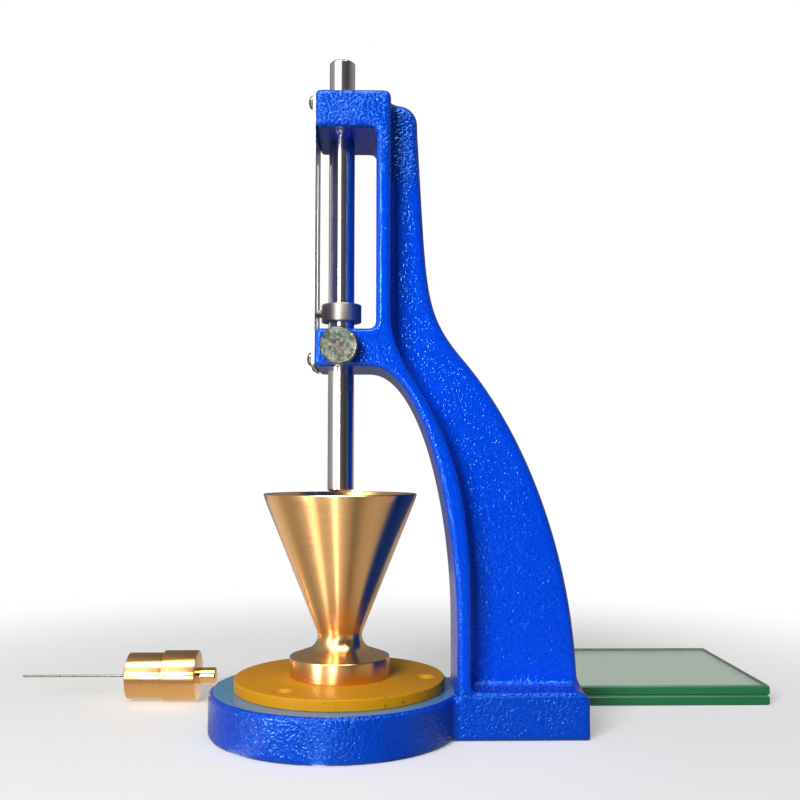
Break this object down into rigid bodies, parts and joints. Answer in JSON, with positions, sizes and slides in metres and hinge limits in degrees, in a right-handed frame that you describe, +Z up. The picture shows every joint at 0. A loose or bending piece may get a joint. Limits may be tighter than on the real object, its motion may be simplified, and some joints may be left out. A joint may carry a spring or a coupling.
{
  "type": "vicat apparatus",
  "caption": "Vicat apparatus for cement paste: blue cast stand with guided rod, scale plate, cone mould, needle unit and glass plates.",
  "frame": {"origin": "on the underside of the base, below the axis of the rod", "axes": "+X from the rod's axis to the end of the foot behind the column, +Y away from the viewer who faces the lock screw, +Z up along the rod"},
  "size_m": [0.3737, 0.1965, 0.3079],
  "materials": {
    "blue_hammertone": "hammertone enamel on cast iron",
    "bronze": "turned",
    "satin_aluminium": "satin with etched graduations",
    "zinc_plate": "zinc plated",
    "chrome_rod": "ground and polished",
    "dull_steel": "turned, dull",
    "black_steel": "blackened",
    "bright_brass": "turned and polished",
    "golden_enamel": "glossy enamel",
    "cast_brass": "turned, polished",
    "needle_steel": "ground",
    "clear_glass": "clear float glass"
  },
  "bodies": {
    "stand": {"frame_casting": "blue_hammertone", "upper_guide_bush": "bronze", "lower_guide_bush": "bronze", "scale_plate": "satin_aluminium", "scale_screws": "zinc_plate", "scale_washers": "zinc_plate"},
    "rod": {"slide_rod": "chrome_rod", "stop_collar": "dull_steel", "pointer_screw": "dull_steel", "collar_grub_screw": "black_steel"},
    "pad": {"lock_pad": "bright_brass"},
    "clamp": {"lock_screw": "zinc_plate"},
    "plate": {"work_plate": "golden_enamel"},
    "mould": {"cone_mould": "cast_brass"},
    "needle_unit": {"needle_stud": "bright_brass", "needle_weight": "bright_brass", "needle_holder": "bright_brass", "needle": "needle_steel"},
    "lower_glass": {"glass_plate_lower": "clear_glass"},
    "upper_glass": {"glass_plate_upper": "clear_glass"}
  },
  "joints": [
    {"name": "rod_slide", "type": "slide", "parent": "stand", "child": "rod", "axis": [0, 0, 1], "range_m": [-0.0052, 0.07]},
    {"name": "lock_pad_slide", "type": "slide", "parent": "stand", "child": "pad", "axis": [0, -1, 0], "range_m": [0, 0.002]},
    {"name": "lock_screw_turn", "type": "hinge", "parent": "pad", "child": "clamp", "pos_m": [0, 0, 0.1709], "axis": [0, -1, 0], "range_deg": [0, 720.5]},
    {"name": "work_plate_slide", "type": "slide", "parent": "stand", "child": "plate", "axis": [-1, 0, 0], "range_m": [0, 0.014]},
    {"name": "mould_slide", "type": "slide", "parent": "plate", "child": "mould", "axis": [-1, 0, 0], "range_m": [0, 0.006]},
    {"name": "needle_unit_lift", "type": "slide", "parent": "stand", "child": "needle_unit", "axis": [0, 0, 1], "range_m": [0, 0.1]},
    {"name": "lower_glass_lift", "type": "slide", "parent": "stand", "child": "lower_glass", "axis": [0, 0, 1], "range_m": [0, 0.08]},
    {"name": "upper_glass_lift", "type": "slide", "parent": "lower_glass", "child": "upper_glass", "axis": [0, 0, 1], "range_m": [0, 0.05]}
  ],
  "couplings": [
    {"joint": "lock_screw_turn", "follows": "lock_pad_slide", "rad_per_m": 6283.2}
  ]
}
